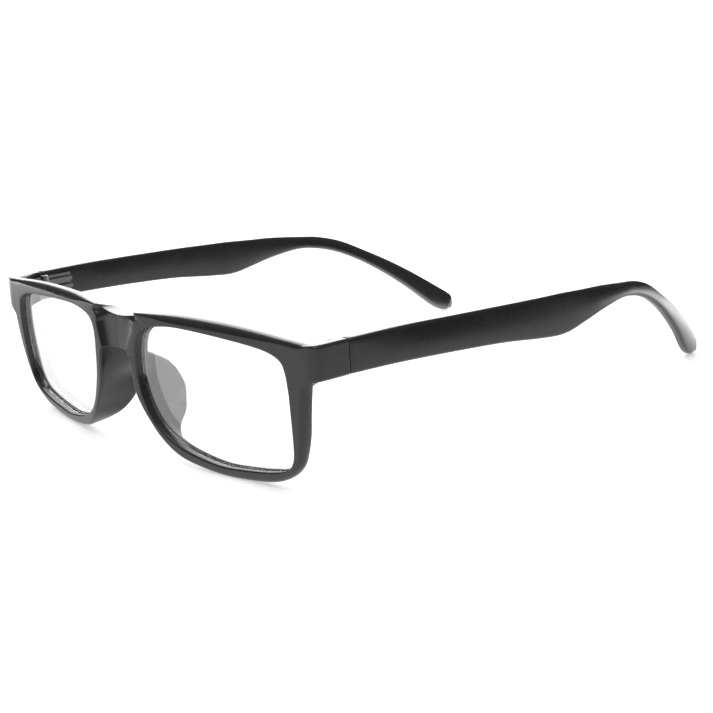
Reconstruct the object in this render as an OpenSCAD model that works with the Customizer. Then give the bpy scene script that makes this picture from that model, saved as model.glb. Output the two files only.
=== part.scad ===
// Plastic eyeglasses frame with two clear lenses and folding temples.
// X runs across the face towards the wearer's left, Y runs back along the temples, Z is up.
// The frame lies open as on a table: the rims and the temple tips touch the plane Z = 0.

/* [Front] */
// Width over the outer sides of the end pieces
front_w = 137.6; // [132:0.1:146]
// Width of one lens opening
lens_w = 50.1; // [48:0.1:52]
// Height of one lens opening
lens_h = 31.5; // [30:0.1:34]
// Distance between the two lens openings
bridge_w = 19.1; // [17:0.1:21]
// Height of the rim under a lens opening
rim_low = 2.4; // [2:0.1:3]
// Height of the rim over a lens opening
rim_top = 2.7; // [2.2:0.1:3.4]
// Width of the rim beside a lens opening, at the nose
rim_nose = 2.5; // [2.2:0.1:3]
// Width of the rim beside a lens opening, at the temple
rim_side = 3.6; // [2.6:0.1:4.4]
// Depth of the rims from front to back
rim_t = 3.6; // [3.2:0.1:4.4]
// Angle by which each half of the front turns back, at the lenses' middle height
face_wrap = 8.2; // [5:0.1:11]
// Angle that this turn loses from there to the front's upper edge, and gains below
wrap_twist = 1.2; // [0:0.1:3]
// Radius of the turn at the middle of the front, where the two halves meet
wrap_blend = 1.5; // [0.8:0.1:3]
// Radius of the front's upright bow
bow_r = 150; // [120:5:400]
// Bevel round each lens opening
bevel = 0.5; // [0.3:0.1:0.8]
// Rounding of the rims' outer edges
edge_r = 0.7; // [0.4:0.1:0.9]
// Rounding of the front's upper edge
brow_r = 1.7; // [0.8:0.1:1.9]
// Rounding of the rims' front edge at the temple side
side_r = 1.2; // [0.5:0.1:1.6]
// Depth by which the rims' backs are relieved at the temple side
side_relief = 0.9; // [0:0.1:1]

/* [Bridge and nose pads] */
// Height of the bridge at its middle
bridge_h = 8.3; // [7:0.1:9]
// Drop of the bridge below the tops of the rims
bridge_drop = 2.7; // [1.6:0.1:3.4]
// Depth by which the bridge lies behind the rims' faces
bridge_recess = 1.5; // [0.8:0.1:2]
// Width of the rounded step from a rim's face down to the bridge
step_run = 2.2; // [1:0.1:3]
// Distance by which the step leans outwards above the bridge's middle, and inwards below
step_lean = 1.2; // [0:0.1:1.6]
// Depth of the bridge from front to back
bridge_t = 3.4; // [2.8:0.1:4.4]
// Drop of a nose pad's middle below the underside of the bridge
pad_drop = 9.4; // [8.6:0.1:10.2]
// Reach of the nose pads behind the front's foremost point
pad_reach = 13.4; // [9:0.1:15]
// Thickness of a nose pad
pad_t = 1.7; // [1.4:0.1:2]
// Angle by which the nose pads spread towards the back
pad_splay = 20; // [8:1:24]
// Angle per millimetre of height that this spread loses over the pads' lower halves
pad_twist = 3.9; // [0:0.1:5]

/* [End pieces] */
// Height of an end piece at the seam
end_h = 8; // [6.8:0.1:9]
// Drop of an end piece's top below the tops of the rims
end_drop = 1.7; // [1.4:0.1:2.2]
// Thickness of an end piece
end_t = 3.3; // [3:0.1:4]
// Distance from the front's foremost point to the seam
seam_y = 17.5; // [16.5:0.1:20]
// Rounding from the front's face into the side of an end piece
end_r = 2.2; // [1.5:0.1:3]
// Gap at the seam between an end piece and its temple
seam_gap = 0.2; // [0.1:0.05:0.3]

/* [Lenses] */
// Thickness of a lens
lens_t = 1.8; // [1.4:0.1:2]
// Depth of a lens behind the front's face
lens_in = 1.2; // [0.9:0.1:1.4]
// Depth of the groove that holds a lens
groove = 0.6; // [0.4:0.1:0.8]
// Clearance round a lens in its groove
lens_gap = 0.05; // [0.02:0.01:0.1]

/* [Temples] */
// Length from the seam to the end of a temple's tip
temple_len = 142; // [130:1:150]
// Drop of a temple's widest place below the middle of the seam
belly_drop = 3.1; // [2:0.1:4]
// Distance by which a temple bows out beyond the side of the front
belly_out = 1.8; // [0.5:0.1:3]
// Height of a temple at that widest place, ahead of the ear
belly_h = 10; // [8:0.1:12]
// Height of the neck over the ear
neck_h = 3.8; // [3.4:0.1:5]
// Drop of the tip's widest place below the middle of the seam
tip_drop = 26.2; // [22:0.1:26.4]
// Height of the tip behind the ear
tip_h = 6.6; // [5:0.1:7.4]
// Thickness of a temple along its middle
temple_t = 2.8; // [2.6:0.1:3.2]
// Distance by which a tip curves in from the side of the front
tip_in = 17.5; // [14:0.5:20]
// Rounding of a temple's long edges
temple_r = 0.9; // [0.5:0.1:1.2]

/* [Hinges] */
// Height of a hinge, over its five barrels
hinge_h = 5.2; // [4.4:0.1:5.6]
// Radius of a hinge's barrels
barrel_r = 1.15; // [1:0.05:1.3]
// Radius of a hinge screw
screw_r = 0.6; // [0.5:0.05:0.7]
// Clearance of a screw in the barrels that hold it
barrel_fit = 0.01; // [0.01:0.01:0.03]
// Clearance of a screw in the barrels that turn on it
screw_gap = 0.05; // [0.02:0.01:0.08]
// Gap between neighbouring barrels
barrel_gap = 0.12; // [0.1:0.01:0.2]
// Gap between the barrels and the inner faces beside them
barrel_off = 0.1; // [0.08:0.01:0.2]
// Thickness of a hinge's plates
plate_t = 0.9; // [0.8:0.05:1]
// Depth by which the plates are let into the inner faces
plate_in = 0.75; // [0.6:0.05:0.8]
// Length of the plate on a temple
temple_plate = 8.5; // [6:0.1:12]
// Length of the plate in an end piece
front_plate = 4; // [3.4:0.1:4.4]
// Radius of a hinge screw's head
head_r = 1; // [0.9:0.05:1.1]
// Height of a hinge screw's head
head_h = 0.45; // [0.3:0.05:0.6]

/* [Hidden] */
plastic = "#2b2b2d";
steel = "#b9bbbe";
clear = "#e6f0f2";

// The side of the front, and heights that follow from the driving sizes
side_x = front_w / 2;
inner_x = side_x - end_t;
lens_mid_z = rim_low + lens_h / 2;
top_z = rim_low + lens_h + rim_top;
end_top = top_z - end_drop;
end_low = end_top - end_h;
bridge_top = top_z - bridge_drop;
bridge_low = bridge_top - bridge_h;

function unit(v) = v / norm(v);
function mix(a, b, t) = a + (b - a) * t;

// Cubic from a to b with the slopes ma and mb
function cubic(a, b, ma, mb, t) =
    (2 * t * t * t - 3 * t * t + 1) * a + (t * t * t - 2 * t * t + t) * ma
    + (3 * t * t - 2 * t * t * t) * b + (t * t * t - t * t) * mb;

// The front's face: a rounded ridge at the nose, with both halves turned back, twisted and bowed
function wrap_at(z) = face_wrap - wrap_twist * (z - lens_mid_z) / (top_z - lens_mid_z);
function wrap_y(x, z) =
    sqrt(pow(x * tan(wrap_at(z)), 2) + wrap_blend * wrap_blend) - wrap_blend;
function face_y(x, z) = wrap_y(x, z) + pow(z - lens_mid_z, 2) / (2 * bow_r);
function on_face(p, depth) = [p.x, face_y(p.x, p.y) + depth, p.y];

// Places in the lens opening, as shares of its width and height
function at(fx, fz) = [bridge_w / 2 + fx * lens_w, rim_low + fz * lens_h];

// Stations round the left rim, from the top middle by way of the temple side.
// Each is: place on the opening's edge, place on the outline, kind, reach or inset, 1 where smooth.
RIM = 0;
END = 1;
BRIDGE = 2;
PAD = 3;
nose_x = bridge_w / 2 - rim_nose;
temple_x = bridge_w / 2 + lens_w + rim_side;
pad_mid = bridge_low - pad_drop;
stations = [
    [at(0.40, 0.995), [at(0.40, 0).x, top_z], RIM, 0, 1],
    [at(0.60, 0.98), [at(0.62, 0).x, top_z - 0.2], RIM, 0, 1],
    [at(0.78, 0.96), [at(0.82, 0).x, top_z - 0.7], RIM, 0, 1],
    [at(0.88, 0.94), [at(0.98, 0).x, top_z - end_drop * 0.75], RIM, 0, 1],
    [at(0.935, 0.915), [inner_x - 3.4, top_z - end_drop * 0.9], RIM, 0, 1],
    [at(0.965, 0.89), [inner_x - 0.4, end_top], RIM, 0, 0],
    [at(0.975, 0.875), [side_x, end_top], END, 0.5, 0],
    [at(0.982, 0.86), [side_x, end_top - 0.5], END, 0, 0],
    [at(0.995, 0.80), [side_x, end_top - 2.6], END, 0, 1],
    [at(1.001, 0.73), [side_x, end_low + 2.6], END, 0, 1],
    [at(1.004, 0.67), [side_x, end_low + 0.5], END, 0, 0],
    [at(1.005, 0.65), [side_x, end_low], END, 0.5, 0],
    [at(1.005, 0.62), [temple_x + 1.9, end_low - 0.5], RIM, 0, 0],
    [at(1.004, 0.54), [temple_x + 1.3, end_low - 3.4], RIM, 0, 1],
    [at(1.00, 0.42), [temple_x + 0.5, end_low - 8.4], RIM, 0, 1],
    [at(0.992, 0.28), [temple_x - 0.5, at(0, 0.37).y], RIM, 0, 1],
    [at(0.978, 0.18), [temple_x - 1.9, at(0, 0.23).y], RIM, 0, 1],
    [at(0.947, 0.11), [temple_x - 3.5, at(0, 0.12).y], RIM, 0, 1],
    [at(0.89, 0.066), [temple_x - 7.2, 3.1], RIM, 0, 1],
    [at(0.78, 0.032), [at(0.82, 0).x, 1.1], RIM, 0, 1],
    [at(0.64, 0.01), [at(0.66, 0).x, 0.2], RIM, 0, 1],
    [at(0.50, 0.00), [at(0.51, 0).x, 0], RIM, 0, 1],
    [at(0.36, 0.03), [at(0.36, 0).x, 0.7], RIM, 0, 1],
    [at(0.24, 0.08), [nose_x + 13.6, 2.3], RIM, 0, 1],
    [at(0.15, 0.155), [nose_x + 8.2, 5.9], PAD, 0.63, 1],
    [at(0.085, 0.255), [nose_x + 4.8, 9.9], PAD, 0.89, 1],
    [at(0.045, 0.365), [nose_x + 2.5, bridge_low - 12.6], PAD, 0.94, 1],
    [at(0.018, 0.47), [nose_x + 0.8, pad_mid], PAD, 0.88, 1],
    [at(0.005, 0.56), [nose_x, bridge_low - 5.9], PAD, 0.79, 1],
    [at(0.001, 0.62), [nose_x - 0.3, bridge_low - 2.8], PAD, 0.58, 1],
    [at(0, 0.66), [nose_x - 0.8, bridge_low - 1.0], BRIDGE, 0, 0],
    [at(0, 0.70), [nose_x / 2, bridge_low - 0.2], BRIDGE, 0, 1],
    [at(0, 0.735), [0, bridge_low], BRIDGE, 0, 0],
    [at(0.002, 0.79), [0, mix(bridge_low, bridge_top, 0.35)], BRIDGE, 0, 1],
    [at(0.01, 0.85), [0, mix(bridge_low, bridge_top, 0.7)], BRIDGE, 0, 1],
    [at(0.026, 0.90), [0, bridge_top], BRIDGE, 0, 0],
    [at(0.045, 0.93), [nose_x / 2, bridge_top + 0.1], BRIDGE, 0, 1],
    [at(0.07, 0.952), [nose_x + 0.4, bridge_top + 0.5], BRIDGE, 0, 1],
    [at(0.10, 0.967), [nose_x + 1.5, top_z - 0.8], RIM, 0, 0],
    [at(0.16, 0.985), [nose_x + 6, top_z - 0.5], RIM, 0, 1],
    [at(0.26, 0.998), [at(0.24, 0).x, top_z - 0.1], RIM, 0, 1]
];

// Section through the front at a station, from the opening's edge over the face to the outline,
// round the back, and through the groove that holds the lens
function section(s) = let (
    a = s[0],
    o = s[1],
    n = unit(o - a),
    w = norm(o - a),
    upper = max(n.y, 0) * max(n.y, 0),
    outer = max(n.x, 0) * max(n.x, 0),
    r = edge_r + (brow_r - edge_r) * upper + (side_r - edge_r) * outer
) concat(
    [on_face(a, bevel), on_face(a + n * bevel, 0)],
    s[2] == END ? end_edge(a, o, s[3])
    : s[2] == BRIDGE ? bridge_edge(a, o)
    : s[2] == PAD ? pad_edge(a, o, n, w, s[3])
    : rim_edge(a, n, w, r, rim_t - side_relief * outer),
    [
        on_face(a + n * bevel, rim_t),
        on_face(a, rim_t - bevel),
        on_face(a, lens_in + lens_t + lens_gap),
        on_face(a + n * groove, lens_in + lens_t + lens_gap),
        on_face(a + n * groove, lens_in - lens_gap),
        on_face(a, lens_in - lens_gap)
    ]
);

// Plain rim: a rounded front edge, a drafted side and a rounded back edge at the depth back
function rim_edge(a, n, w, r, back) = [
    on_face(a + n * mix(bevel, w - r, 0.6), 0),
    on_face(a + n * (w - r), 0),
    on_face(a + n * (w - 0.3 * r), 0.3 * r),
    on_face(a + n * w, r),
    on_face(a + n * (w - 0.1), mix(r, back - edge_r, 0.5)),
    on_face(a + n * (w - 0.2), back - edge_r),
    on_face(a + n * (w - 0.9 * edge_r), back),
    on_face(a + n * mix(bevel, w - edge_r, 0.5), mix(rim_t, back, 0.6))
];

// End piece: the face turns the corner and runs back to the seam
function end_edge(a, o, inset) = let (
    x = o.x - inset,
    y = face_y(side_x - end_r, o.y)
) [
    on_face(mix(a, [side_x - end_r, o.y], 0.5), 0),
    [side_x - end_r, y, o.y],
    [x - 0.3 * end_r, y + 0.3 * end_r, o.y],
    [x, y + end_r, o.y],
    [x, mix(y + end_r, seam_y, 0.6), o.y],
    [x, seam_y, o.y],
    [inner_x + inset, seam_y, o.y],
    [inner_x + inset, face_y(inner_x, o.y) + rim_t + 0.3, o.y]
];

// Bridge: a rounded step down from the rim's face, then a shallow hollow to the middle
function bridge_edge(a, o) = let (
    run = max(a.x - o.x, 1.5),
    step_x = nose_x + step_lean * (2 * (o.y - bridge_low) / bridge_h - 1),
    top = min((a.x - step_x) / run, 0.7),
    foot = min((a.x - step_x + step_run) / run, 0.95),
    p = mix(a, o, top),
    q = mix(a, o, mix(top, foot, 0.35)),
    r = mix(a, o, foot),
    back = bridge_recess + bridge_t
) [
    on_face(p, 0.1),
    on_face(q, bridge_recess * 0.6),
    on_face(r, bridge_recess),
    on_face(o, bridge_recess + 0.2),
    on_face(o, bridge_recess + bridge_t / 3),
    on_face(o, bridge_recess + bridge_t * 2 / 3),
    on_face(o, back),
    on_face(mix(r, a, 0.1), mix(rim_t, back, 0.6))
];

// Nose pad: the rim's nose side runs back into a thin splayed wing, which turns in below its middle
function pad_edge(a, o, n, w, reach) = let (
    root = on_face(o, edge_r),
    run = max(pad_reach * reach - root.y, 0.5),
    splay = pad_splay - pad_twist * max(pad_mid - o.y, 0),
    tip = root + [run * tan(splay), run, 0],
    inward = [-n.x, 0, -n.y] * pad_t
) [
    on_face(a + n * mix(bevel, w - edge_r, 0.6), 0),
    on_face(a + n * (w - edge_r), 0),
    on_face(a + n * (w - 0.3 * edge_r), 0.3 * edge_r),
    root,
    mix(root, tip, 0.5) - inward * 0.15,
    tip,
    tip + inward * 0.7 - [0, 0.3, 0],
    on_face(a + n * max(w - pad_t * 1.2, mix(bevel, w, 0.3)), rim_t)
];

// Loft round the rim: every point of the sections runs along its own cubic
ring_steps = 2;
sections = [for (s = stations) section(s)];
count = len(stations);
width = len(sections[0]);
function slope(i, j) =
    stations[i][4] * (sections[(i + 1) % count][j] - sections[(i + count - 1) % count][j]) / 2;
half_points = [
    for (i = [0:count - 1], k = [0:ring_steps - 1], j = [0:width - 1])
        cubic(
            sections[i][j], sections[(i + 1) % count][j],
            slope(i, j), slope((i + 1) % count, j), k / ring_steps
        )
];
columns = count * ring_steps;
total = len(half_points);
function in_middle(i) = abs(half_points[i].x) < 1e-6;
// Number of a point in the mirrored half, which shares the points in the middle plane
function twin(i) = in_middle(i) ? i : i + total;
function corner(c, j) = (c % columns) * width + (j % width);
half_faces = [
    for (c = [0:columns - 1], j = [0:width - 1])
        let (
            p = corner(c, j),
            q = corner(c, j + 1),
            r = corner(c + 1, j + 1),
            s = corner(c + 1, j)
        )
        if (!(in_middle(p) && in_middle(q) && in_middle(r) && in_middle(s)))
            each [[p, q, r], [p, r, s]]
];
front_points = concat(half_points, [for (p = half_points) [-p.x, p.y, p.z]]);
front_faces = concat(
    half_faces,
    [for (f = half_faces) [twin(f[2]), twin(f[1]), twin(f[0])]]
);

// Lens: a bowed disc in rings from its middle to the opening, and a last ring in the groove.
// The two outer rings follow the groove's own walls, at the lens's clearance.
lens_rings = 3;
lens_mid = at(0.5, 0.5);
FRONT_LIP = 15;
FRONT_GROOVE = 14;
BACK_LIP = 12;
BACK_GROOVE = 13;
function wall(c, j) = half_points[c * width + j];
function lens_ring(k, lip, bed, depth, gap) = [
    for (c = [0:columns - 1])
        let (at_lip = wall(c, lip))
        k < lens_rings
        ? on_face(mix(lens_mid, [at_lip.x, at_lip.z], k / (lens_rings - 1)), depth)
        : mix(at_lip, wall(c, bed), 1 - lens_gap / groove) + [0, gap, 0]
];
lens_points = concat(
    [on_face(lens_mid, lens_in), on_face(lens_mid, lens_in + lens_t)],
    [for (k = [1:lens_rings]) each lens_ring(k, FRONT_LIP, FRONT_GROOVE, lens_in, lens_gap)],
    [for (k = [1:lens_rings])
        each lens_ring(k, BACK_LIP, BACK_GROOVE, lens_in + lens_t, -lens_gap)]
);
function lens_at(back, k, c) = 2 + (back * lens_rings + k) * columns + c % columns;
function quad(a, b, c, d) = [[a, b, c], [a, c, d]];
lens_faces = [
    for (c = [0:columns - 1]) each concat(
        [[0, lens_at(0, 0, c), lens_at(0, 0, c + 1)]],
        [[1, lens_at(1, 0, c + 1), lens_at(1, 0, c)]],
        [for (k = [0:lens_rings - 2]) each quad(
            lens_at(0, k, c), lens_at(0, k + 1, c), lens_at(0, k + 1, c + 1), lens_at(0, k, c + 1)
        )],
        [for (k = [0:lens_rings - 2]) each quad(
            lens_at(1, k, c), lens_at(1, k, c + 1), lens_at(1, k + 1, c + 1), lens_at(1, k + 1, c)
        )],
        quad(
            lens_at(0, lens_rings - 1, c), lens_at(1, lens_rings - 1, c),
            lens_at(1, lens_rings - 1, c + 1), lens_at(0, lens_rings - 1, c + 1)
        )
    )
];

// Temple stations: distance from the seam, height of the middle line, height across it,
// distance of the outer side from the front's side, and thickness
seam_z = end_low + end_h / 2;
temple_stations = [
    [0, seam_z, end_h, 0, end_t],
    [temple_len * 0.10, seam_z - belly_drop * 0.06, end_h + 0.1, belly_out * 0.39, end_t - 0.1],
    [temple_len * 0.21, seam_z - belly_drop * 0.26, end_h + 0.3, belly_out * 0.78, temple_t + 0.1],
    [temple_len * 0.32, seam_z - belly_drop * 0.52, belly_h - 1.2, belly_out, temple_t],
    [temple_len * 0.41, seam_z - belly_drop * 0.86, belly_h - 0.2, belly_out * 0.89, temple_t],
    [temple_len * 0.465, seam_z - belly_drop, belly_h, belly_out * 0.67, temple_t],
    [temple_len * 0.515, seam_z - belly_drop * 0.87, mix(belly_h, neck_h, 0.28),
        belly_out * 0.39, temple_t],
    [temple_len * 0.57, seam_z - belly_drop * 0.69, mix(belly_h, neck_h, 0.62), 0, temple_t],
    [temple_len * 0.635, seam_z - belly_drop * 0.68, neck_h + 0.2, -tip_in * 0.08, temple_t],
    [temple_len * 0.685, seam_z - tip_drop * 0.115, neck_h, -tip_in * 0.17, temple_t],
    [temple_len * 0.735, seam_z - tip_drop * 0.206, neck_h + 0.2, -tip_in * 0.27, temple_t],
    [temple_len * 0.79, seam_z - tip_drop * 0.374, mix(neck_h, tip_h, 0.3),
        -tip_in * 0.4, temple_t],
    [temple_len * 0.845, seam_z - tip_drop * 0.561, mix(neck_h, tip_h, 0.6),
        -tip_in * 0.55, temple_t],
    [temple_len * 0.90, seam_z - tip_drop * 0.771, mix(neck_h, tip_h, 0.85),
        -tip_in * 0.71, temple_t],
    [temple_len * 0.955, seam_z - tip_drop, tip_h, -tip_in * 0.89, temple_t],
    [temple_len * 0.98, seam_z - tip_drop - tip_h * 0.33, tip_h * 0.84,
        -tip_in * 0.97, temple_t * 0.9],
    [temple_len * 0.99, seam_z - tip_drop - tip_h * 0.47, tip_h * 0.5, -tip_in, temple_t * 0.6]
];
temple_steps = 3;
last = len(temple_stations) - 1;
function temple_slope(i) =
    (temple_stations[min(i + 1, last)] - temple_stations[max(i - 1, 0)])
    / (i == 0 || i == last ? 1 : 2);
temple_rows = concat(
    [for (i = [0:last - 1], k = [0:temple_steps - 1])
        cubic(
            temple_stations[i], temple_stations[i + 1],
            temple_slope(i), temple_slope(i + 1), k / temple_steps
        )],
    [temple_stations[last]]
);

// Section across a temple: a rectangle with rounded corners, square to its middle line
function temple_section(i) = let (
    s = temple_rows[i],
    b = temple_rows[max(i - 1, 0)],
    f = temple_rows[min(i + 1, len(temple_rows) - 1)],
    along = i == 0 ? [1, 0] : unit([f[0] - b[0], f[1] - b[1]]),
    h = s[2] / 2,
    r = min(temple_r, s[4] * 0.45, h * 0.6),
    x = [side_x + s[3] - s[4], side_x + s[3]],
    c = r * 0.3
) [
    for (p = [
        [x[1] - r, h], [x[1] - c, h - c], [x[1], h - r],
        [x[1], r - h], [x[1] - c, c - h], [x[1] - r, -h],
        [x[0] + r, -h], [x[0] + c, c - h], [x[0], r - h],
        [x[0], h - r], [x[0] + c, h - c], [x[0] + r, h]
    ])
        [p.x, seam_y + seam_gap + s[0] - p.y * along.y, s[1] + p.y * along.x]
];
temple_points = [for (i = [0:len(temple_rows) - 1]) each temple_section(i)];
temple_end = len(temple_rows) - 1;
ring = len(temple_section(0));
temple_faces = concat(
    [for (i = [0:temple_end - 1], j = [0:ring - 1])
        let (
            p = i * ring + j,
            q = i * ring + (j + 1) % ring
        )
        each [[p, q + ring, q], [p, p + ring, q + ring]]],
    [for (j = [1:ring - 2]) each [
        [0, j, j + 1],
        [temple_end * ring, temple_end * ring + j + 1, temple_end * ring + j]
    ]]
);

// The middle of the whole frame, from the front's face to the ends of the tips
mid_y = (min([for (p = front_points) p.y]) + max([for (p = temple_points) p.y])) / 2;
module centred() {
    translate([0, -mid_y, 0]) children();
}

// The right side is the left side's mirror image
module side_of(side) {
    mirror([side < 0 ? 1 : 0, 0, 0]) children();
}

// Hinge: the pin stands beside the inner faces, at the middle of the seam
pin_x = inner_x - barrel_r - barrel_off;
pin_y = seam_y + seam_gap / 2;
hinge_low = seam_z - hinge_h / 2;
barrels = 5;
barrel_h = (hinge_h - (barrels - 1) * barrel_gap) / barrels;
leaf_gap = 0.2;
head_gap = 0.02;
cut = 0.01;
fn_round = 48;

// Pocket for a hinge plate in an inner face, between two distances from the seam
module plate_pocket(from, to) {
    translate([inner_x - 1, seam_y + from, hinge_low])
        cube([1 + plate_in, to - from, hinge_h]);
}

module front_frame() {
    color(plastic) centred() difference() {
        polyhedron(front_points, front_faces, convexity = 8);
        for (side = [-1, 1]) side_of(side) plate_pocket(-front_plate, cut);
    }
}

module lens(side) {
    color(clear, 0.35) centred() side_of(side) polyhedron(lens_points, lens_faces, convexity = 3);
}

module temple(side) {
    color(plastic) centred() side_of(side) difference() {
        polyhedron(temple_points, temple_faces, convexity = 6);
        plate_pocket(seam_gap - cut, seam_gap + temple_plate);
    }
}

// Barrels from one leaf, with the tongues that join them to its plate
module leaf_barrels(first, to_y, bore) {
    for (k = [first:2:barrels - 1]) {
        z = hinge_low + k * (barrel_h + barrel_gap);
        difference() {
            union() {
                translate([pin_x, pin_y, z]) cylinder(r = barrel_r, h = barrel_h, $fn = fn_round);
                translate([pin_x, min(pin_y, to_y), z])
                    cube([inner_x + plate_in - pin_x, abs(to_y - pin_y), barrel_h]);
            }
            translate([pin_x, pin_y, z - 1])
                cylinder(r = bore, h = barrel_h + 2, $fn = fn_round);
        }
    }
}

// Leaf in the end piece, with three barrels
module front_hinge(side) {
    color(steel) centred() side_of(side) {
        leaf_barrels(0, seam_y - front_plate, screw_r + barrel_fit);
        translate([inner_x + plate_in - plate_t, seam_y - front_plate, hinge_low])
            cube([plate_t, front_plate - barrel_r - leaf_gap, hinge_h]);
    }
}

// Leaf on the temple, with two barrels
module temple_hinge(side) {
    color(steel) centred() side_of(side) {
        leaf_barrels(1, seam_y + seam_gap + temple_plate, screw_r + screw_gap);
        translate([inner_x + plate_in - plate_t, pin_y + barrel_r + leaf_gap, hinge_low])
            cube([plate_t, seam_y + seam_gap + temple_plate - pin_y - barrel_r - leaf_gap, hinge_h]);
    }
}

// Screw through the five barrels, with a flat head above the top one
module hinge_screw(side) {
    color(steel) centred() side_of(side) translate([pin_x, pin_y, 0]) {
        translate([0, 0, hinge_low]) cylinder(r = screw_r, h = hinge_h + head_h / 2, $fn = fn_round);
        translate([0, 0, hinge_low + hinge_h + head_gap])
            cylinder(r = head_r, h = head_h, $fn = fn_round);
    }
}

front_frame();
lens(1);  // lens_left
lens(-1);  // lens_right
front_hinge(1);  // front_hinge_left
front_hinge(-1);  // front_hinge_right
temple_hinge(1);  // temple_hinge_left
temple_hinge(-1);  // temple_hinge_right
hinge_screw(1);  // hinge_screw_left
hinge_screw(-1);  // hinge_screw_right
temple(1);  // temple_left
temple(-1);  // temple_right
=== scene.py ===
import bpy
import numpy as np
from mathutils import Matrix, Vector


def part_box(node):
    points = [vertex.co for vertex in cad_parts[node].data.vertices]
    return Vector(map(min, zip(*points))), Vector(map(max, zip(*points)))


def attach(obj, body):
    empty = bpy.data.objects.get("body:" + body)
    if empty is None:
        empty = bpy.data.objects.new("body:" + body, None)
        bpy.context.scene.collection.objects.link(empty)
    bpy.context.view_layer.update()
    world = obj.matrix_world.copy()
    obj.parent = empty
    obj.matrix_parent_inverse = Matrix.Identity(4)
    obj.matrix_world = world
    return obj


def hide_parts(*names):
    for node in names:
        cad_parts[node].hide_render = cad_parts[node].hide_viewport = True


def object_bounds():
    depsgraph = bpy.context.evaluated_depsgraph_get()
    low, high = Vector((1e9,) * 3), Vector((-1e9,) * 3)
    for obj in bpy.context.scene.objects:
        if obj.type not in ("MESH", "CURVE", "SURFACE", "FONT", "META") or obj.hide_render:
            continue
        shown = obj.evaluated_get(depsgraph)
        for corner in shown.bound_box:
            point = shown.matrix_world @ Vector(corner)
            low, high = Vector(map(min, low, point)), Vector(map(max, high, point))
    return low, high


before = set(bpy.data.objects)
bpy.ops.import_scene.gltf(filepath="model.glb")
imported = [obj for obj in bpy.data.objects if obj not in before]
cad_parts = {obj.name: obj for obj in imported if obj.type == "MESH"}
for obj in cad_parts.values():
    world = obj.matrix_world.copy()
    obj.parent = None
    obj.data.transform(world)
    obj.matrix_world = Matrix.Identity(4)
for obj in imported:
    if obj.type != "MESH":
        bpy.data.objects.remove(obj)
cad_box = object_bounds()

# Front moulding ---------------------------------------------------------------------------------
# One injection-moulded piece of satin black plastic: both rims, the stepped bridge, the two end
# pieces that turn back to the hinges, and the fixed nose pads. Lengths are in millimetres.

MM = 0.001
front_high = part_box("front_frame")[1]
side_x = front_high.x / MM
top_z = front_high.z / MM
seam_y = 17.5
apex_y = front_high.y / MM - seam_y

# The lens openings and the plastic round them, then how the face is bowed: degrees that each half
# turns back, degrees that this eases by at the top, and the radii of the ridge and of the bow.
lens_w, lens_h = 50.1, 31.5
bridge_w = 19.1
rim_low, rim_nose, rim_side, rim_t = 2.4, 2.5, 3.6, 3.6
face_wrap, wrap_twist, wrap_blend, bow_r = 8.2, 1.2, 1.5, 150

# Edges: the opening's bevel, the plain radius, and the rounder ones of the brow and of the sides.
bevel, edge_r, brow_r, side_r, side_relief = 0.3, 0.7, 1.7, 1.2, 0.9

# The bridge, with its step down from the rims, and the pads: how far back they reach, how thick
# they are, how far below the bridge their middle lies, the degrees they splay there, and the
# degrees lost for each millimetre below and above it.
bridge_h, bridge_drop, bridge_recess, bridge_t = 8.3, 2.7, 1.5, 3.4
step_run, step_lean = 2.6, 1.2
pad_reach, pad_t, pad_drop = 13.4, 1.7, 9.4
pad_splay, splay_lost_below, splay_lost_above = 17, 3.3, 2.6

# The end pieces, and the groove with the lens that it holds.
end_h, end_drop, end_t, end_r = 8.0, 1.7, 3.3, 2.2
lens_t, lens_in, lens_gap, groove = 1.5, 1.5, 0.05, 0.6

inner_x = side_x - end_t
lens_mid_z = rim_low + lens_h / 2
end_top = top_z - end_drop
end_low = end_top - end_h
bridge_top = top_z - bridge_drop
bridge_low = bridge_top - bridge_h
nose_x = bridge_w / 2 - rim_nose
temple_x = bridge_w / 2 + lens_w + rim_side
pad_mid = bridge_low - pad_drop
RIM, END, BRIDGE, PAD = range(4)


def mix(a, b, t):
    """The point that lies the share t of the way from a to b."""
    return a + (b - a) * t


def cubic(a, b, slope_a, slope_b, t):
    """Hermite cubic at t: the ends by 2t^3 - 3t^2 + 1 and 3t^2 - 2t^3, and their slopes by
    t^3 - 2t^2 + t and t^3 - t^2."""
    ends = (2 * t**3 - 3 * t**2 + 1) * a + (3 * t**2 - 2 * t**3) * b
    return ends + (t**3 - 2 * t**2 + t) * slope_a + (t**3 - t**2) * slope_b


def at(fx, fz):
    """A place in the left lens opening, as shares of its width and height."""
    return np.array([bridge_w / 2 + fx * lens_w, rim_low + fz * lens_h])


def face_y(x, z):
    """Depth of the front's face: two halves turned back from a rounded ridge at the nose, by an
    angle that eases with the height, plus the square of the height from the lenses' middle over
    twice the radius of the upright bow."""
    turn = face_wrap - wrap_twist * (z - lens_mid_z) / (top_z - lens_mid_z)
    wrap = np.sqrt((x * np.tan(np.radians(turn))) ** 2 + wrap_blend**2) - wrap_blend
    return wrap + (z - lens_mid_z) ** 2 / (2 * bow_r)


def rim_profile(a, n, w, r, back):
    """Plain rim, as distances across it and depths: rounded front edge, drafted side, and a rounded
    back edge at the depth back."""
    across = [mix(bevel, w - r, 0.6), w - r, w - 0.3 * r, w, w - 0.1, w - 0.2]
    across += [w - 0.9 * edge_r, mix(bevel, w - edge_r, 0.5)]
    depth = [0, 0, 0.3 * r, r, mix(r, back - edge_r, 0.5), back - edge_r, back]
    depth += [mix(rim_t, back, 0.6)]
    return [[*(a + n * u), d] for u, d in zip(across, depth)]


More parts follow.
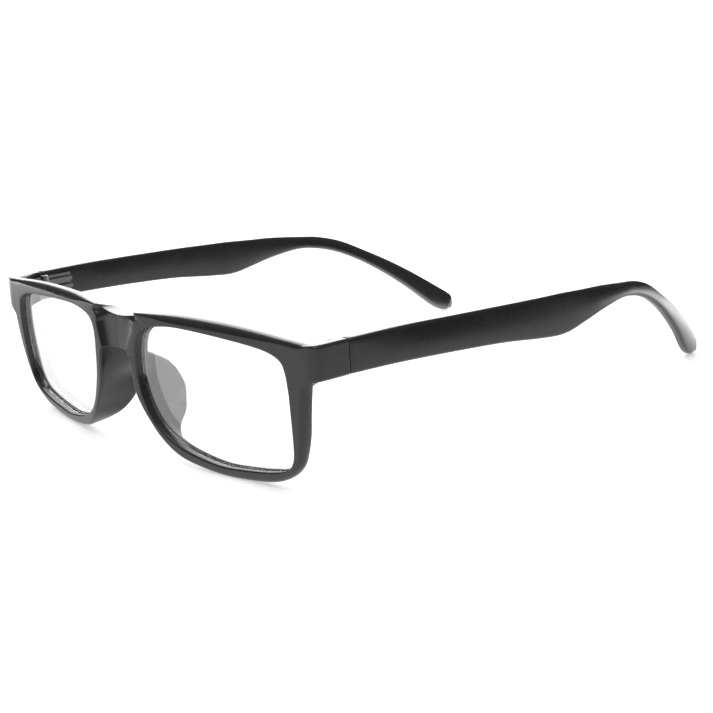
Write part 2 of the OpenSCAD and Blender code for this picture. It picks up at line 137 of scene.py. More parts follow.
def end_profile(a, o, inset):
    """End piece: the face turns the corner and runs straight back to the seam."""
    x = o[0] - inset
    y = face_y(side_x - end_r, o[1])
    inner = inner_x + inset
    path = [[(a[0] + side_x - end_r) / 2, (a[1] + o[1]) / 2, None], [side_x - end_r, o[1], y]]
    path += [[x - 0.3 * end_r, o[1], y + 0.3 * end_r], [x, o[1], y + end_r]]
    path += [[x, o[1], mix(y + end_r, seam_y, 0.6)], [x, o[1], seam_y], [inner, o[1], seam_y]]
    path += [[inner, o[1], face_y(inner_x, o[1]) + rim_t + 0.3]]
    return [[u, v, 0 if y is None else y - face_y(u, v)] for u, v, y in path]


def bridge_profile(a, o, deeper):
    """Bridge: a rounded step down from the rim's face, then a shallow hollow to the middle. Its back
    lies deeper where it runs out into a pad."""
    run = max(a[0] - o[0], 1.5)
    height = (o[1] - bridge_low) / bridge_h
    step_x = nose_x + step_lean * (2 * height - 1)
    top = min((a[0] - step_x) / run, 0.7)
    foot = min((a[0] - step_x + step_run) / run, 0.95)
    p, q, r = mix(a, o, top), mix(a, o, mix(top, foot, 0.35)), mix(a, o, foot)
    back = bridge_recess + bridge_t + deeper
    path = [(p, 0.1), (q, bridge_recess * 0.6), (r, bridge_recess), (o, bridge_recess + 0.2)]
    path += [(o, bridge_recess + bridge_t / 3), (o, bridge_recess + bridge_t * 2 / 3), (o, back)]
    path += [(mix(r, a, 0.1), mix(rim_t, back, 0.6))]
    return [[*place, depth] for place, depth in path]


def pad_profile(a, o, n, w, reach):
    """Nose pad: the rim's nose side runs back into a thin wing, turned out by a splay that falls
    with the height above or below the pad's middle."""
    root_y = face_y(*o) + edge_r
    run = max(pad_reach * reach - root_y, 0.5)
    root = np.array([o[0], o[1], root_y])
    below = pad_mid - o[1]
    lost = splay_lost_below * below if below > 0 else -splay_lost_above * below
    splay = np.radians(pad_splay - lost)
    tip = root + [run * np.tan(splay), 0, run]
    inward = np.array([-n[0], -n[1], 0]) * pad_t
    wing = [root, mix(root, tip, 0.5) - inward * 0.15, tip, tip + inward * 0.7 - [0, 0, 0.3]]
    back = a + n * max(w - pad_t * 1.2, mix(bevel, w, 0.3))
    across = [mix(bevel, w - edge_r, 0.6), w - edge_r, w - 0.3 * edge_r]
    edge = [[*(a + n * u), d] for u, d in zip(across, [0, 0, 0.3 * edge_r])]
    edge += [[u, v, y - face_y(u, v)] for u, v, y in wing]
    return edge + [[*back, rim_t]]


def front_section(station):
    """Sixteen points round the moulding at a station, each a place on the face and a depth behind
    it: the bevel, the outer profile, the back, and the groove that holds the lens."""
    a, o, kind, extent = np.array(station[0]), np.array(station[1]), station[2], station[3]
    w = np.hypot(*(o - a))
    n = (o - a) / w
    upper, outward = max(n[1], 0) ** 2, max(n[0], 0) ** 2
    relieved = rim_t - side_relief * outward - extent * (kind == RIM)
    r = edge_r + (brow_r - edge_r) * upper + (side_r - edge_r) * outward
    r = min(r, relieved - edge_r - 0.2)
    outer = {
        RIM: lambda: rim_profile(a, n, w, r, relieved),
        END: lambda: end_profile(a, o, extent),
        BRIDGE: lambda: bridge_profile(a, o, extent),
        PAD: lambda: pad_profile(a, o, n, w, extent),
    }[kind]()
    back_wall = lens_in + lens_t + lens_gap
    front_wall = lens_in - lens_gap
    lip = [[*(a + n * bevel), rim_t], [*a, rim_t - bevel], [*a, back_wall]]
    bed = [[*(a + n * groove), back_wall], [*(a + n * groove), front_wall], [*a, front_wall]]
    return [[*a, bevel], [*(a + n * bevel), 0], *outer, *lip, *bed]


def softness(kind):
    """Length that each of a section's corners is rounded over. Long ones make a flowing curve, and
    nought keeps the bridge's halves meeting in the middle plane."""
    reach = np.full(16, 5.0)
    reach[[0, 11]] = 0.12
    reach[[1, 10]] = 0.3
    reach[12:] = 0.05
    if kind == END:
        reach[[7, 8]] = 0.2
    if kind == BRIDGE:
        reach[2] = 0.25
        reach[5:9] = 0
    if kind == PAD:
        reach[[7, 8]] = 0.6
    return reach


def carried(points, smooth, steps):
    """Section points carried round the ring. Each runs on its own Hermite cubic between stations,
    with half the step between its neighbours as its slope, or none at a corner."""
    ahead = np.roll(points, -1, 0)
    slope = smooth[:, None, None] * (ahead - np.roll(points, 1, 0)) / 2
    slope_ahead = np.roll(slope, -1, 0)
    t = (np.arange(steps) / steps)[None, :, None, None]
    path = cubic(points[:, None], ahead[:, None], slope[:, None], slope_ahead[:, None], t)
    return path.reshape(-1, *points.shape[1:])


def rounded(points, reach, corner_steps, fill):
    """Closed sections with every corner turned into a parabola, (1-t)^2 a + 2t(1-t) corner + t^2 b,
    whose feet a and b lie up to reach from it, but never as far as halfway to the next corner. Fill
    more points are spread along each straight between two corners."""
    before, after = np.roll(points, 1, 1) - points, np.roll(points, -1, 1) - points
    to_before = np.linalg.norm(before, axis=2) + 1e-9
    to_after = np.linalg.norm(after, axis=2) + 1e-9
    most = 0.46
    a = points + before * (np.minimum(reach, to_before * most) / to_before)[..., None]
    b = points + after * (np.minimum(reach, to_after * most) / to_after)[..., None]
    rows = []
    for i in range(points.shape[1]):
        for t in np.linspace(0, 1, corner_steps):
            rows.append((1 - t) ** 2 * a[:, i] + 2 * t * (1 - t) * points[:, i] + t * t * b[:, i])
        for t in np.arange(1, fill[i] + 1) / (fill[i] + 1):
            rows.append(mix(b[:, i], a[:, (i + 1) % points.shape[1]], t))
    return np.stack(rows, 1)


def relaxed(grid, passes):
    """Softens the ridges that run across the ring: every point moves halfway to the middle of its
    two neighbours along the ring, and points in the middle plane stay in it."""
    middle = np.abs(grid[..., 0]) < 1e-9
    for _ in range(passes):
        grid = (np.roll(grid, 1, 0) + 2 * grid + np.roll(grid, -1, 0)) / 4
        grid[middle, 0] = 0
    return grid


def on_face(grid):
    """Places and depths on the bowed face turned into points: across, back and up."""
    x, z, depth = np.moveaxis(grid, -1, 0)
    return np.stack([x, apex_y + face_y(x, z) + depth, z], -1)


def ring_faces(rows, columns):
    """Four-sided faces of a grid that closes on itself both ways."""
    c, j = np.meshgrid(np.arange(rows), np.arange(columns), indexing="ij")
    near, far = c * columns, (c + 1) % rows * columns
    k = (j + 1) % columns
    return np.stack([near + j, far + j, far + k, near + k], -1).reshape(-1, 4)


def surface(name, points, faces):
    """A smooth-shaded mesh object of points in millimetres and the faces between them."""
    mesh = bpy.data.meshes.new(name)
    mesh.from_pydata((points * MM).tolist(), [], [list(f) for f in faces])
    mesh.shade_smooth()
    mesh.update()
    piece = bpy.data.objects.new(name, mesh)
    bpy.context.scene.collection.objects.link(piece)
    return piece


def blank_material(name):
    """A new material, with its tree and the socket that gives a piece's own places in metres."""
    material = bpy.data.materials.new(name)
    material.use_nodes = True
    tree = material.node_tree
    return material, tree, tree.nodes.new("ShaderNodeTexCoord").outputs["Object"]


def noise(tree, place, scale, detail, roughness=0.5, stretch=(1, 1, 1)):
    """Cloudy values about a half, with scale clouds to the metre, drawn out where stretch is less
    than one."""
    turn = tree.nodes.new("ShaderNodeMapping")
    turn.inputs["Scale"].default_value = stretch
    tree.links.new(place, turn.inputs["Vector"])
    clouds = tree.nodes.new("ShaderNodeTexNoise")
    clouds.inputs["Scale"].default_value = scale
    clouds.inputs["Detail"].default_value = detail
    clouds.inputs["Roughness"].default_value = roughness
    tree.links.new(turn.outputs["Vector"], clouds.inputs["Vector"])
    return clouds.outputs["Fac"]


def spread(tree, value, low, high, to_low, to_high, kind="LINEAR"):
    """A value carried from the range low to high to another range, and held at its ends."""
    node = tree.nodes.new("ShaderNodeMapRange")
    node.interpolation_type = kind
    for key, number in (("From Min", low), ("From Max", high), ("To Min", to_low), ("To Max", to_high)):
        node.inputs[key].default_value = number
    tree.links.new(value, node.inputs["Value"])
    return node.outputs["Result"]


def worked_out(tree, operation, a, b):
    """Two values put together by one sum, such as ADD or MAXIMUM."""
    node = tree.nodes.new("ShaderNodeMath")
    node.operation = operation
    tree.links.new(a, node.inputs[0])
    tree.links.new(b, node.inputs[1])
    return node.outputs["Value"]


def bumped(tree, height, strength, distance, shader):
    """Gives a shader a relief of the given strength, with heights up to a distance in metres."""
    bump = tree.nodes.new("ShaderNodeBump")
    bump.inputs["Strength"].default_value = strength
    bump.inputs["Distance"].default_value = distance
    tree.links.new(height, bump.inputs["Height"])
    tree.links.new(bump.outputs["Normal"], shader.inputs["Normal"])


def satin_plastic(name, colour, grain):
    """Moulded plastic: near-black, with a fine spark-eroded grain, cloudy changes of gloss from
    handling, and sparse hairline scuffs."""
    material, tree, place = blank_material(name)
    shader = tree.nodes["Principled BSDF"]
    shader.inputs["Specular IOR Level"].default_value = 0.62

    pigment = tree.nodes.new("ShaderNodeMix")
    pigment.data_type = "RGBA"
    pigment.inputs["A"].default_value = (*[c * 0.8 for c in colour], 1)
    pigment.inputs["B"].default_value = (*[c * 1.2 for c in colour], 1)
    mottle = spread(tree, noise(tree, place, 700, 4, 0.6), 0.3, 0.7, 0, 1)
    tree.links.new(mottle, pigment.inputs["Factor"])
    tree.links.new(pigment.outputs["Result"], shader.inputs["Base Color"])

    clouds = spread(tree, noise(tree, place, 90, 3, 0.55), 0.3, 0.7, 0.24, 0.31)
    hairlines = noise(tree, place, 500, 2, 0.5, stretch=(1, 0.06, 1))
    scuffs = spread(tree, hairlines, 0.68, 0.8, 0, 0.12)
    tree.links.new(worked_out(tree, "ADD", clouds, scuffs), shader.inputs["Roughness"])
    bumped(tree, noise(tree, place, 5000, 3, 0.6), grain, 0.00002, shader)
    return material


# Places round the left rim, from the top middle by way of the temple side: on the opening's edge,
# on the outline, the kind of section, its extent, and 1 where the outline runs on smoothly.
stations = [
    [at(0.40, 0.995), [at(0.40, 0)[0], top_z], RIM, 0, 1],
    [at(0.60, 0.98), [at(0.62, 0)[0], top_z - 0.2], RIM, 0, 1],
    [at(0.78, 0.96), [at(0.82, 0)[0], top_z - 0.7], RIM, 0, 1],
    [at(0.88, 0.94), [at(0.98, 0)[0], top_z - end_drop * 0.75], RIM, 0, 1],
    [at(0.935, 0.915), [inner_x - 3.4, top_z - end_drop * 0.9], RIM, 0, 1],
    [at(0.965, 0.89), [inner_x - 0.4, end_top], RIM, 0, 0],
    [at(0.975, 0.875), [side_x, end_top], END, 0.5, 0],
    [at(0.982, 0.86), [side_x, end_top - 0.5], END, 0, 0],
    [at(0.995, 0.80), [side_x, end_top - 2.6], END, 0, 1],
    [at(1.001, 0.73), [side_x, end_low + 2.6], END, 0, 1],
    [at(1.004, 0.67), [side_x, end_low + 0.5], END, 0, 0],
    [at(1.005, 0.65), [side_x, end_low], END, 0.5, 0],
    [at(1.005, 0.62), [temple_x + 1.9, end_low - 0.5], RIM, 0, 0],
    [at(1.004, 0.54), [temple_x + 1.3, end_low - 3.4], RIM, 0, 1],
    [at(1.00, 0.42), [temple_x + 0.5, end_low - 8.4], RIM, 0, 1],
    [at(0.992, 0.28), [temple_x - 0.5, at(0, 0.37)[1]], RIM, 0, 1],
    [at(0.978, 0.18), [temple_x - 1.9, at(0, 0.23)[1]], RIM, 0, 1],
    [at(0.947, 0.11), [temple_x - 3.5, at(0, 0.12)[1]], RIM, 0, 1],
    [at(0.89, 0.066), [temple_x - 7.2, 3.1], RIM, 0, 1],
    [at(0.78, 0.032), [at(0.82, 0)[0], 1.1], RIM, 0, 1],
    [at(0.64, 0.01), [at(0.66, 0)[0], 0.2], RIM, 0, 1],
    [at(0.50, 0.00), [at(0.51, 0)[0], 0], RIM, 0, 1],
    [at(0.36, 0.03), [at(0.36, 0)[0], 0.7], RIM, 0, 1],
    [at(0.24, 0.08), [nose_x + 13.6, 2.3], RIM, 0, 1],
    [at(0.15, 0.155), [nose_x + 8.2, 5.9], PAD, 0.63, 1],
    [at(0.085, 0.255), [nose_x + 4.8, 9.9], PAD, 0.89, 1],
    [at(0.045, 0.365), [nose_x + 2.5, bridge_low - 12.6], PAD, 0.94, 1],
    [at(0.018, 0.47), [nose_x + 0.8, pad_mid], PAD, 0.92, 1],
    [at(0.005, 0.56), [nose_x, bridge_low - 5.9], PAD, 0.91, 1],
    [at(0.001, 0.62), [nose_x - 0.3, bridge_low - 2.8], PAD, 0.78, 1],
    [at(0, 0.66), [nose_x - 0.8, bridge_low - 0.1], PAD, 0.43, 0],
    [at(0, 0.70), [nose_x / 2, bridge_low + 0.3], BRIDGE, 0.3, 1],
    [at(0, 0.735), [0, bridge_low + 0.3], BRIDGE, 0, 0],
    [at(0.002, 0.79), [0, mix(bridge_low, bridge_top, 0.35)], BRIDGE, 0, 1],
    [at(0.01, 0.85), [0, mix(bridge_low, bridge_top, 0.7)], BRIDGE, 0, 1],
    [at(0.026, 0.90), [0, bridge_top], BRIDGE, 0, 0],
    [at(0.045, 0.93), [nose_x / 2, bridge_top + 0.25], BRIDGE, 0, 1],
    [at(0.07, 0.952), [nose_x + 0.4, bridge_top + 0.8], BRIDGE, 0, 1],
    [at(0.10, 0.967), [nose_x + 1.5, top_z - 0.8], RIM, 2.2, 0],
    [at(0.16, 0.985), [nose_x + 6, top_z - 0.5], RIM, 1.0, 1],
    [at(0.26, 0.998), [at(0.24, 0)[0], top_z - 0.1], RIM, 0, 1],
]

# Steps between two stations and round a corner, passes of relaxing, and more points on each straight.
ring_steps, corner_steps, passes = 8, 4, 3
fill = [0, 1, 1, 0, 3, 1, 1, 1, 1, 2, 0, 0, 0, 0, 0, 0]
smooth = np.array([s[4] for s in stations], float)
cage = np.array([front_section(s) for s in stations])
soft = np.stack([softness(s[2]) for s in stations])[..., None]
reach = carried(soft, smooth * 0, ring_steps)[..., 0]
half = rounded(carried(cage, smooth, ring_steps), reach, corner_steps, fill)
half = relaxed(half, passes)

# The left half, and its mirror image joined to it along the points of the middle plane.
rows, columns = half.shape[:2]
half = on_face(half).reshape(-1, 3)
middle = np.abs(half[:, 0]) < 1e-9
twin = np.where(middle, np.arange(len(half)), len(half) + np.cumsum(~middle) - 1)
left_faces = ring_faces(rows, columns)
left_faces = left_faces[~middle[left_faces].all(1)]
both = np.concatenate([half, half[~middle] * [-1, 1, 1]])
moulding = surface("front_moulding", both, np.concatenate([left_faces, twin[left_faces][:, ::-1]]))
frame_black = satin_plastic("frame_black", colour=(0.012, 0.012, 0.0125), grain=0.25)
moulding.data.materials.append(frame_black)
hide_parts("front_frame")
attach(moulding, "front")

# Lenses -----------------------------------------------------------------------------------------
# Two clear panes of hard-coated plastic, bowed like the front and sprung into its grooves. Their
# coats throw back much of a bright room, so what lies behind them looks paler.

lens_rings = 18


def lens_surface(side):
    """Rings from the middle to the groove's bed, one set on the front and one on the back, both on
    the bowed face at the lens's own depths and joined round the edge."""
    lip, bed = carried(cage[:, [15, 14]], smooth, ring_steps)[::2].transpose(1, 0, 2)[..., :2]
    edge = mix(lip, bed, 1 - lens_gap / groove)
    share = np.linspace(0, 1, lens_rings + 1)[1:, None, None]
    rings = np.concatenate([mix(at(0.5, 0.5), lip, share), edge[None]])
    count = edge.shape[0]
    depths = (lens_in, lens_in + lens_t)
    fore, aft = [
        on_face(np.concatenate([rings, np.full((*rings.shape[:2], 1), depth)], 2)) for depth in depths
    ]
    centres = on_face(np.array([[*at(0.5, 0.5), depth] for depth in depths]))
    points = np.concatenate([fore.reshape(-1, 3), aft[::-1].reshape(-1, 3), centres])
    levels = 2 * len(rings)
    k, c = np.meshgrid(np.arange(levels - 1), np.arange(count), indexing="ij")
    d = (c + 1) % count
    walls = np.stack([k * count + c, k * count + d, (k + 1) * count + d, (k + 1) * count + c], -1)
    c = np.arange(count)
    d = (c + 1) % count
    last = (levels - 1) * count
    front_fan = np.stack([np.full(count, levels * count), d, c], -1)
    back_fan = np.stack([np.full(count, levels * count + 1), last + c, last + d], -1)
    faces = [*walls.reshape(-1, 4).tolist(), *front_fan.tolist(), *back_fan.tolist()]
    if side < 0:
        points = points * [-1, 1, 1]
        faces = [f[::-1] for f in faces]
    return points, faces


def coated_lens(name):
    """Clear lens: most light passes straight through with a trace of tint, and the coats give a
    sharp reflection that grows towards the edge of sight, with faint smears in its polish."""
    material, tree, place = blank_material(name)
    tree.nodes.remove(tree.nodes["Principled BSDF"])
    clear = tree.nodes.new("ShaderNodeBsdfTransparent")
    clear.inputs["Color"].default_value = (0.975, 0.985, 0.985, 1)
    gloss = tree.nodes.new("ShaderNodeBsdfGlossy")
    gloss.inputs["Color"].default_value = (1, 1, 1, 1)
    smears = spread(tree, noise(tree, place, 60, 5), 0.35, 0.75, 0.02, 0.09)
    tree.links.new(smears, gloss.inputs["Roughness"])
    facing = tree.nodes.new("ShaderNodeLayerWeight")
    facing.inputs["Blend"].default_value = 0.5
    grazing = tree.nodes.new("ShaderNodeMath")
    grazing.operation = "POWER"
    grazing.inputs[1].default_value = 5
    tree.links.new(facing.outputs["Facing"], grazing.inputs[0])
    glance = spread(tree, grazing.outputs["Value"], 0, 1, 0.2, 1)
    both = tree.nodes.new("ShaderNodeMixShader")
    tree.links.new(glance, both.inputs["Fac"])
    tree.links.new(clear.outputs["BSDF"], both.inputs[1])
    tree.links.new(gloss.outputs["BSDF"], both.inputs[2])
    tree.links.new(both.outputs["Shader"], tree.nodes["Material Output"].inputs["Surface"])
    return material


lens_coat = coated_lens("lens_coat")
for side, hand in ((1, "left"), (-1, "right")):
    lens = surface(f"{hand}_lens", *lens_surface(side))
    lens.data.materials.append(lens_coat)
    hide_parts(f"lens_{hand}")
    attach(lens, "front")

# Temples ----------------------------------------------------------------------------------------
# Two side arms moulded in the same plastic, each held by its hinge's screw. From flush with its end
# piece an arm deepens to a belly, narrows to the neck over the ear and widens again into a
# turned-in tip.

temple_len, temple_t, belly_h, belly_drop, belly_out = 142, 2.8, 10, 3.1, 1.79
neck_h, tip_h, tip_drop, tip_in, tip_dome = 3.8, 6.6, 26.2, 17.5, 0.6
seam_gap, temple_r = 0.2, 0.9
seam_z = end_low + end_h / 2

# How far the outer and inner faces fall back at their upper edge, the length over which that grows
# from the seam, and how far below the middle the crown's highest line runs, as a share of the
# half-height.
outer_crown, inner_crown, crown_start, crown_low = 0.9, 0.75, 20, 0.5

# Along the temple: distance from the seam, height of its middle, how tall it is, how far its outer
# face stands out from the end piece's, and how thick it is.
temple_stations = np.array([
    [0, seam_z, end_h, 0, end_t],
    [temple_len * 0.10, seam_z - belly_drop * 0.06, end_h + 0.1, belly_out * 0.39, end_t - 0.1],
    [temple_len * 0.21, seam_z - belly_drop * 0.26, end_h + 0.3, belly_out * 0.78, temple_t + 0.1],
    [temple_len * 0.32, seam_z - belly_drop * 0.52, belly_h - 1.2, belly_out, temple_t],
    [temple_len * 0.41, seam_z - belly_drop * 0.86, belly_h - 0.2, belly_out * 0.89, temple_t],
    [temple_len * 0.465, seam_z - belly_drop, belly_h, belly_out * 0.67, temple_t],
    [temple_len * 0.515, seam_z - belly_drop * 0.87, mix(belly_h, neck_h, 0.28), belly_out * 0.39,
     temple_t],
    [temple_len * 0.57, seam_z - belly_drop * 0.69, mix(belly_h, neck_h, 0.62), 0, temple_t],
    [temple_len * 0.635, seam_z - belly_drop * 0.68, neck_h + 0.2, -tip_in * 0.08, temple_t],
    [temple_len * 0.685, seam_z - tip_drop * 0.115, neck_h, -tip_in * 0.17, temple_t],
    [temple_len * 0.735, seam_z - tip_drop * 0.2, neck_h, -tip_in * 0.27, temple_t],
    [temple_len * 0.79, seam_z - tip_drop * 0.353, neck_h, -tip_in * 0.4, temple_t],
    [temple_len * 0.845, seam_z - tip_drop * 0.538, mix(neck_h, tip_h, 0.25), -tip_in * 0.55, temple_t],
    [temple_len * 0.90, seam_z - tip_drop * 0.754, mix(neck_h, tip_h, 0.6), -tip_in * 0.71, temple_t],
    [temple_len * 0.955, seam_z - tip_drop, tip_h, -tip_in * 0.89, temple_t],
    [temple_len * 0.98, seam_z - tip_drop - tip_h * 0.33, tip_h * 0.84, -tip_in * 0.97, temple_t * 0.9],
    [temple_len * 0.989, seam_z - tip_drop - tip_h * 0.47, tip_h * 0.5, -tip_in, temple_t * 0.7],
])
temple_steps, corner_points, flat_points, dome_rings = 14, 7, 5, 8

# The seam end's edge: how far its rings stand in, and how far along they lie.
ease, ease_at = [0.25, 0.1, 0.02], [0, 0.06, 0.2]


def run_on(corners):
    """The bar's four rounded corners in one row, with more points along each flat between two."""
    share = np.arange(1, flat_points + 1) / (flat_points + 1)
    flats = [mix(a[:, -1:], b[:, :1], share) for a, b in zip(corners, corners[1:] + corners[:1])]
    return np.concatenate([part for pair in zip(corners, flats) for part in pair], 1)


def temple_surface(side):
    """Sections of a rounded bar, carried along the stations' Hermite cubics square to the middle
    line. Each face is crowned: it falls back by the square of the height above a line low on it.
    The seam end's edges are eased by a few short rings, and the tip ends in a quarter-round dome."""
    slope = np.gradient(temple_stations, axis=0)
    t = (np.arange(temple_steps) / temple_steps)[None, :, None]
    a, b = temple_stations[:-1, None], temple_stations[1:, None]
    path = cubic(a, b, slope[:-1, None], slope[1:, None], t).reshape(-1, 5)
    path = np.concatenate([path, temple_stations[-1:]])
    s, z, height, offset, thick = path.T
    heading = np.gradient(np.stack([offset, s, z], 1), axis=0)
    heading /= np.linalg.norm(heading, axis=1)[:, None]

    round_off = np.linspace(0, np.pi / 2, dome_rings + 1)[1:]
    narrowed = np.append(np.cos(round_off[:-1]), 0.02)
    index = np.concatenate([[0] * len(ease), np.arange(1, len(path)), [len(path) - 1] * dome_rings])
    shift = np.concatenate([ease_at, np.zeros(len(path) - 1), np.sin(round_off) * tip_dome])[:, None]
    inset = np.concatenate([ease, np.zeros(len(path) - 1 + dome_rings)])[:, None]
    scale = np.concatenate([np.ones(len(ease) + len(path) - 1), narrowed])[:, None]

    half_h, half_t = height[index][:, None] / 2, thick[index][:, None] / 2
    r = np.minimum(temple_r, np.minimum(half_t * 0.9, half_h * 0.6))
    quarter = np.linspace(0, np.pi / 2, corner_points)
    x_corners, v_corners = [], []
    for sign_x, sign_v, start in ((1, 1, 0), (-1, 1, 1), (-1, -1, 2), (1, -1, 3)):
        turn = quarter + start * np.pi / 2
        x_corners.append(sign_x * (half_t - r) + np.cos(turn) * r)
        v_corners.append(sign_v * (half_h - r) + np.sin(turn) * r)
    x, v = run_on(x_corners), run_on(v_corners)

    crown = np.where(x > 0, outer_crown, inner_crown) * np.clip(s[index][:, None] / crown_start, 0.1, 1)
    x = x - crown * ((v / half_h + crown_low) / (1 + crown_low)) ** 2 * x / half_t
    x = (x - np.sign(x) * np.minimum(inset, np.abs(x))) * scale
    v = (v - np.sign(v) * np.minimum(inset, np.abs(v))) * scale

    ahead = heading[index]
    level = np.hypot(ahead[:, 1:2], ahead[:, 2:3])
    middle_x = (side_x + offset - thick / 2)[index][:, None] + shift * ahead[:, :1]
    middle_y = apex_y + seam_y + seam_gap + s[index][:, None] + shift * ahead[:, 1:2]
    middle_z = z[index][:, None] + shift * ahead[:, 2:3]
    y = middle_y - v * ahead[:, 2:3] / level
    z = middle_z + v * ahead[:, 1:2] / level
    grid = np.stack([middle_x + x, y, z], -1)

    rows, columns = grid.shape[:2]
    i, j = np.meshgrid(np.arange(rows - 1), np.arange(columns), indexing="ij")
    near, far, k = i * columns, (i + 1) * columns, (j + 1) % columns
    faces = np.stack([far + j, far + k, near + k, near + j], -1).reshape(-1, 4).tolist()
    last = rows * columns - 1
    faces += [list(range(columns)), list(range(last, last - columns, -1))]
    points = grid.reshape(-1, 3)
    if side < 0:
        points = points * [-1, 1, 1]
        faces = [f[::-1] for f in faces]
    return points, faces


for side, hand in ((1, "left"), (-1, "right")):
    temple = surface(f"{hand}_temple_arm", *temple_surface(side))
    temple.data.materials.append(frame_black)
    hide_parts(f"temple_{hand}")
    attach(temple, f"{hand}_temple")

# Hinges -----------------------------------------------------------------------------------------
# Steel leaves let into the plastic, with five barrels on a screw. They are stamped and tumbled, so
# their faces are satin with fine marks. Only their finish is set here.


def satin_steel(name):
    """Tumbled steel: dull grey, with short brushed marks in its gloss and in a slight relief."""
    material, tree, place = blank_material(name)
    shader = tree.nodes["Principled BSDF"]
    shader.inputs["Base Color"].default_value = (0.2, 0.2, 0.205, 1)
    shader.inputs["Metallic"].default_value = 1
    marks = noise(tree, place, 6000, 3, stretch=(1, 0.15, 1))
    tree.links.new(spread(tree, marks, 0, 1, 0.22, 0.5), shader.inputs["Roughness"])
    bumped(tree, marks, 0.2, 0.00001, shader)
    return material


hinge_steel = satin_steel("hinge_steel")
for name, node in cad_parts.items():
    if "hinge" in name:
        node.data.materials.clear()
        node.data.materials.append(hinge_steel)

# Studio -----------------------------------------------------------------------------------------
# A white paper sweep under soft lamps. It shows only the frame's shadow, and the brightest lamp
# stands behind, where the upper edges throw it back.


def light_panel(name, place, towards, width, height, power):
    """A soft rectangular lamp at a place, facing a point, with its sides in metres and its watts."""
    lamp = bpy.data.lights.new(name, "AREA")
    lamp.shape = "RECTANGLE"
    lamp.size, lamp.size_y = width, height
    lamp.energy = power
    panel = bpy.data.objects.new(name, lamp)
    bpy.context.scene.collection.objects.link(panel)
    turn = (Vector(towards) - Vector(place)).to_track_quat("-Z", "Y").to_matrix().to_4x4()
    panel.matrix_world = Matrix.Translation(place) @ turn
    panel.visible_camera = False
    return panel


def ray_is(tree, *kinds):
    """One where the looking ray is of any of the kinds, and nought elsewhere."""
    rays = tree.nodes.new("ShaderNodeLightPath")
    found = rays.outputs[f"Is {kinds[0]} Ray"]
    for kind in kinds[1:]:
        found = worked_out(tree, "MAXIMUM", found, rays.outputs[f"Is {kind} Ray"])
    return found


def eased_along(tree, place, way, start, end, at_start, at_end):
    """A strength that eases from one value to another between two distances along a way."""
    reach = tree.nodes.new("ShaderNodeVectorMath")
    reach.operation = "DOT_PRODUCT"
    reach.inputs[1].default_value = way
    tree.links.new(place, reach.inputs[0])
    return spread(tree, reach.outputs["Value"], start, end, at_start, at_end, "SMOOTHSTEP")


floor_half = 30.0
corners = np.array([[-1, -1, 0], [1, -1, 0], [1, 1, 0], [-1, 1, 0]]) * floor_half / MM
floor = surface("floor", corners + [0, 0, cad_box[0].z / MM], [[0, 1, 2, 3]])
paper, tree, place = blank_material("floor_paper")
tree.nodes.remove(tree.nodes["Principled BSDF"])
matt = tree.nodes.new("ShaderNodeBsdfDiffuse")
matt.inputs["Color"].default_value = (0.9, 0.9, 0.9, 1)

# The sweep glows a little of its own, and more so far off, where the lamps don't reach it.
far_off = tree.nodes.new("ShaderNodeVectorMath")
far_off.operation = "LENGTH"
tree.links.new(place, far_off.inputs[0])
lift = tree.nodes.new("ShaderNodeEmission")
tree.links.new(spread(tree, far_off.outputs["Value"], 0.35, 1.0, 0.5, 1.0), lift.inputs["Strength"])
lifted = tree.nodes.new("ShaderNodeAddShader")
tree.links.new(matt.outputs["BSDF"], lifted.inputs[0])
tree.links.new(lift.outputs["Emission"], lifted.inputs[1])

# Painted reflection: in glossy and transmission rays the sweep glows white, brighter under and behind
# the tips, and dim far off to the right.
behind = eased_along(tree, place, (-0.5, 0.87, 0), 0.03, 0.09, 1, 4)
beside = eased_along(tree, place, (0.75, 0.66, 0), 0.14, 0.32, 1, 0.08)
# This emission is a painted reflection, not a lamp: only glossy and transmission rays see it.
painted_reflection_glow = tree.nodes.new("ShaderNodeEmission")
tree.links.new(worked_out(tree, "MULTIPLY", behind, beside), painted_reflection_glow.inputs["Strength"])
seen = tree.nodes.new("ShaderNodeMixShader")
tree.links.new(ray_is(tree, "Glossy", "Transmission"), seen.inputs["Fac"])
tree.links.new(lifted.outputs["Shader"], seen.inputs[1])
tree.links.new(painted_reflection_glow.outputs["Emission"], seen.inputs[2])
tree.links.new(seen.outputs["Shader"], tree.nodes["Material Output"].inputs["Surface"])
floor.data.materials.append(paper)

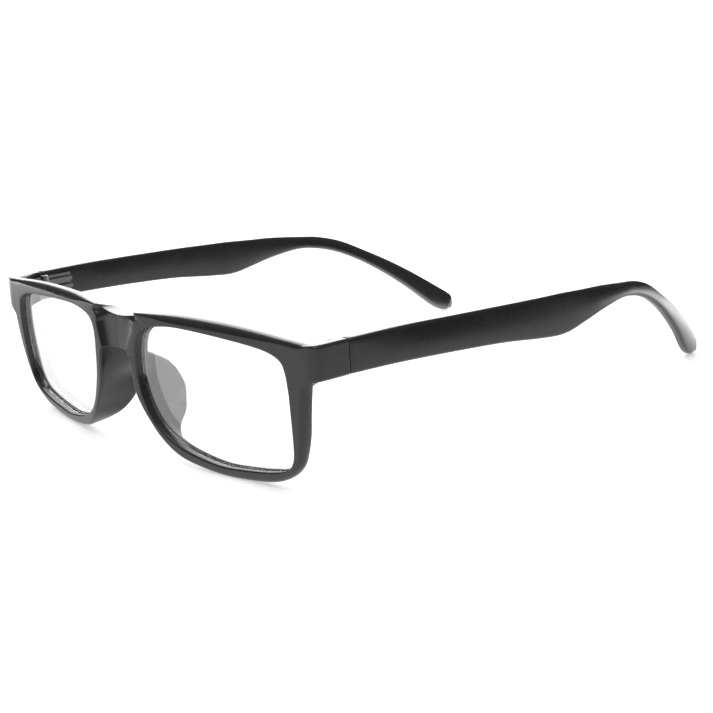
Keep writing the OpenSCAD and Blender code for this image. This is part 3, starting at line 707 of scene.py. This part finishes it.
# The room is dim near the horizon and paler overhead. Seen straight, or through a lens, it is white.
world = bpy.data.worlds.new("studio")
bpy.context.scene.world = world
world.use_nodes = True
tree = world.node_tree
room = tree.nodes["Background"]
room.inputs["Strength"].default_value = 1
direction = tree.nodes.new("ShaderNodeTexCoord")
parts = tree.nodes.new("ShaderNodeSeparateXYZ")
tree.links.new(direction.outputs["Generated"], parts.inputs["Vector"])
tree.links.new(spread(tree, parts.outputs["Z"], 0.1, 0.6, 0.06, 0.32), room.inputs["Color"])
backdrop = tree.nodes.new("ShaderNodeBackground")
backdrop.inputs["Strength"].default_value = 1
backdrop.inputs["Color"].default_value = (1, 1, 1, 1)
shown = tree.nodes.new("ShaderNodeMixShader")
tree.links.new(ray_is(tree, "Camera", "Transmission"), shown.inputs["Fac"])
tree.links.new(room.outputs["Background"], shown.inputs[1])
tree.links.new(backdrop.outputs["Background"], shown.inputs[2])
tree.links.new(shown.outputs["Shader"], tree.nodes["World Output"].inputs["Surface"])

light_panel("top_panel", (0.1, -0.2, 1.0), towards=(0, 0, 0), width=0.8, height=0.8, power=4.5)
light_panel("back_panel", (-0.83, 0.68, 0.62), towards=(0, 0, 0.03), width=1.2, height=1.1, power=17)

# The camera looks down a little on the wearer's left front corner, turned slightly about its axis.
azimuth, elevation, roll = np.radians([50.81, 14.07, -3.65])
distance = 0.3312
target = Vector((0.05573, apex_y * MM + 0.030, 0.02635))
back = Vector((
    np.sin(azimuth) * np.cos(elevation), -np.cos(azimuth) * np.cos(elevation), np.sin(elevation),
))
level = Vector((np.cos(azimuth), np.sin(azimuth), 0))
upright = back.cross(level)
right = level * np.cos(roll) + upright * np.sin(roll)
up = upright * np.cos(roll) - level * np.sin(roll)
camera = bpy.data.objects.new("camera", bpy.data.cameras.new("camera"))
camera.data.lens = 74.6
camera.data.sensor_width = 36
camera.data.clip_start = 0.01
bpy.context.scene.collection.objects.link(camera)
camera.matrix_world = Matrix.Translation(target + back * distance) @ Matrix(
    [[right.x, up.x, back.x], [right.y, up.y, back.y], [right.z, up.z, back.z]]
).to_4x4()
bpy.context.scene.camera = camera
bpy.context.scene.view_settings.view_transform = "Standard"
